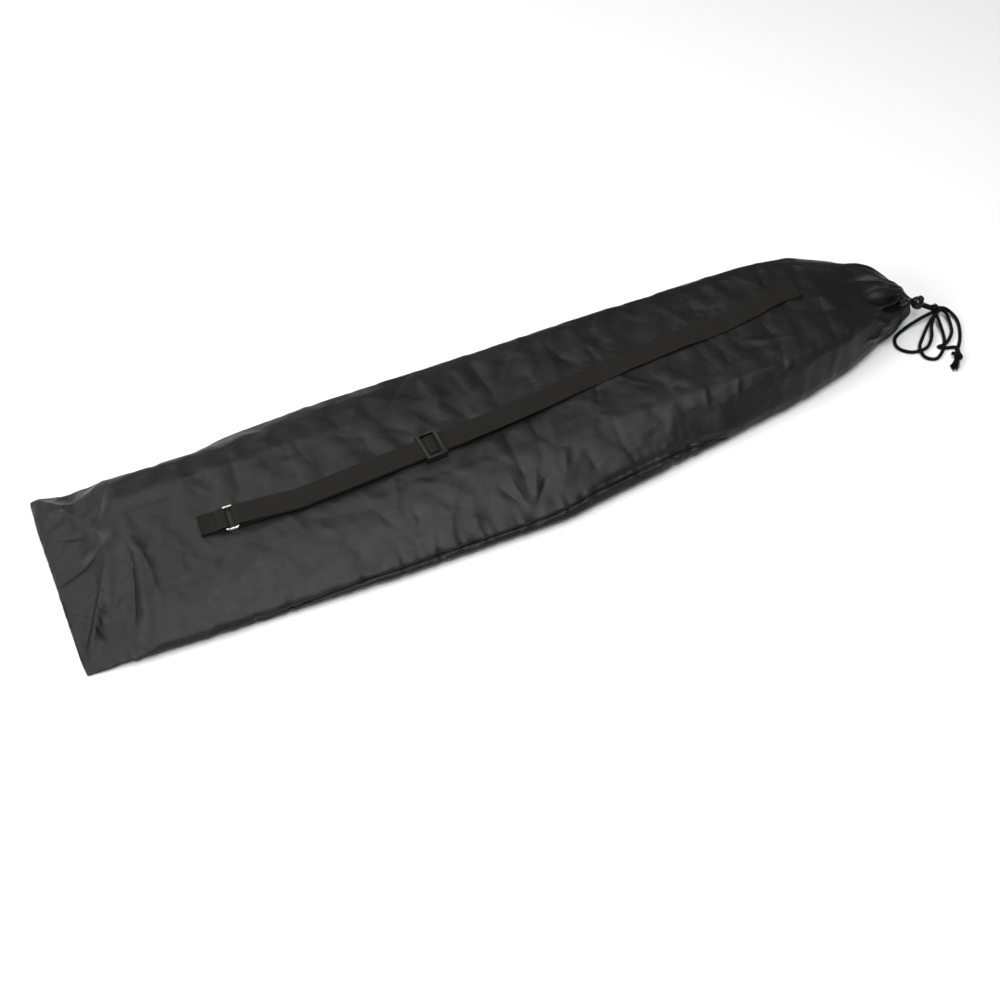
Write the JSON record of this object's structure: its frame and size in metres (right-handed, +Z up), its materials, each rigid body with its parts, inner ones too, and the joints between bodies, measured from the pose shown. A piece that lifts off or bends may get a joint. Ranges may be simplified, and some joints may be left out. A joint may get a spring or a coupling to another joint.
{
  "type": "packed portable net",
  "caption": "Portable court net packed in a long drawstring carry bag with a shoulder strap; frame tubes and rolled net inside.",
  "frame": {"origin": "on the floor plane under the middle of the bag's length", "axes": "+Z up, +X along the bag towards its drawstring mouth, -Y towards the sewn side seam"},
  "size_m": [1.0962, 0.2645, 0.0695],
  "materials": {
    "bag_fabric": "woven polyester with a soft satin sheen",
    "webbing": "ribbed matt polypropylene webbing",
    "thread_and_cord": "twisted matt polyester",
    "black_plastic": "glossy moulded",
    "plated_wire": "nickel plated, softly polished",
    "spring_steel": "bright",
    "coated_tube": "powder coated, satin",
    "rubber_cap": "matt",
    "moulded_connector": "fine texture",
    "net_mesh": "knotless mesh, rolled",
    "net_tape": "white coated tape"
  },
  "bodies": {
    "bag": {"bag_body": "bag_fabric", "bag_neck": "bag_fabric", "bottom_seam": "bag_fabric", "side_seam": "bag_fabric", "mouth_tunnel": "bag_fabric", "strap_tab": "webbing", "tab_stitching": "thread_and_cord", "strap_sewn_end": "webbing", "strap_end_stitching": "thread_and_cord", "drawcord_loop": "thread_and_cord"},
    "ring": {"strap_ring": "plated_wire"},
    "strap": {"strap_webbing": "webbing", "strap_return_layer": "webbing"},
    "slider": {"strap_slider": "black_plastic"},
    "cord_lock": {"cord_lock_ball": "black_plastic", "cord_lock_spring": "spring_steel"},
    "lock_plunger": {"cord_lock_plunger": "black_plastic"},
    "bow": {"drawcord_bow": "thread_and_cord"},
    "frame_bundle": {"crossbar_tube_1": "coated_tube", "crossbar_tube_2": "coated_tube", "crossbar_tube_3": "coated_tube", "crossbar_tube_4": "coated_tube", "upright_lower_tube_1": "coated_tube", "upright_lower_tube_2": "coated_tube", "upright_upper_tube_1": "coated_tube", "upright_upper_tube_2": "coated_tube", "foot_tube_1": "coated_tube", "foot_tube_2": "coated_tube", "foot_tube_3": "coated_tube", "foot_tube_4": "coated_tube", "foot_cap_1": "rubber_cap", "foot_cap_2": "rubber_cap", "foot_cap_3": "rubber_cap", "foot_cap_4": "rubber_cap", "post_cap_1": "moulded_connector", "post_cap_2": "moulded_connector", "base_connector_1": "moulded_connector", "base_connector_2": "moulded_connector", "bundle_tie_1": "webbing", "bundle_tie_2": "webbing"},
    "net_roll": {"net_bottom_tape": "net_tape", "net_mesh_roll": "net_mesh", "net_headband": "net_tape", "net_tie_1": "webbing", "net_tie_2": "webbing"},
    "clip_1": {"snap_clip_1": "spring_steel"},
    "clip_2": {"snap_clip_2": "spring_steel"},
    "clip_3": {"snap_clip_3": "spring_steel"},
    "clip_4": {"snap_clip_4": "spring_steel"},
    "clip_5": {"snap_clip_5": "spring_steel"}
  },
  "joints": [
    {"name": "strap_lift", "type": "slide", "parent": "bag", "child": "strap", "axis": [0, 0, 1], "range_m": [0, 0.06], "deforming": ["strap_webbing", "strap_return_layer"]},
    {"name": "ring_tilt", "type": "hinge", "parent": "bag", "child": "ring", "pos_m": [-0.338, -0.02621, 0.05419], "axis": [-0.0778, -0.9905, -0.1132], "range_deg": [0, 12]},
    {"name": "slider_travel", "type": "slide", "parent": "strap", "child": "slider", "axis": [0.997, 0.075, 0.0196], "range_m": [-0.13, 0.03]},
    {"name": "cord_lock_slide", "type": "slide", "parent": "bag", "child": "cord_lock", "axis": [0.8497, -0.2749, -0.4499], "range_m": [0, 0.006]},
    {"name": "plunger_press", "type": "slide", "parent": "cord_lock", "child": "lock_plunger", "axis": [-0.428, 0.1385, -0.8931], "range_m": [0, 0.003], "stiffness_N_per_m": 800, "springref_m": -0.002, "deforming": ["cord_lock_spring"]},
    {"name": "bow_swing", "type": "hinge", "parent": "bag", "child": "bow", "pos_m": [0.5441, -0.0078, 0.0172], "axis": [0, 0, 1], "range_deg": [0, 60]},
    {"name": "frame_bundle_slide", "type": "slide", "parent": "bag", "child": "frame_bundle", "axis": [1, 0, 0], "range_m": [0, 1.03], "deforming": ["bag_neck", "mouth_tunnel", "drawcord_loop", "cord_lock_ball", "cord_lock_plunger", "drawcord_bow"]},
    {"name": "net_roll_slide", "type": "slide", "parent": "bag", "child": "net_roll", "axis": [1, 0, 0], "range_m": [0, 1.03]},
    {"name": "clip_1_press", "type": "slide", "parent": "frame_bundle", "child": "clip_1", "axis": [0, 0, -1], "range_m": [0, 0.003], "stiffness_N_per_m": 2000, "springref_m": -0.001},
    {"name": "clip_2_press", "type": "slide", "parent": "frame_bundle", "child": "clip_2", "axis": [0, 0, -1], "range_m": [0, 0.003], "stiffness_N_per_m": 2000, "springref_m": -0.001},
    {"name": "clip_3_press", "type": "slide", "parent": "frame_bundle", "child": "clip_3", "axis": [0, 0, -1], "range_m": [0, 0.003], "stiffness_N_per_m": 2000, "springref_m": -0.001},
    {"name": "clip_4_press", "type": "slide", "parent": "frame_bundle", "child": "clip_4", "axis": [0, 0, -1], "range_m": [0, 0.003], "stiffness_N_per_m": 2000, "springref_m": -0.001},
    {"name": "clip_5_press", "type": "slide", "parent": "frame_bundle", "child": "clip_5", "axis": [0, 0, -1], "range_m": [0, 0.003], "stiffness_N_per_m": 2000, "springref_m": -0.001}
  ],
  "couplings": [
    {"joint": "ring_tilt", "follows": "strap_lift", "rad_per_m": 3.49}
  ]
}
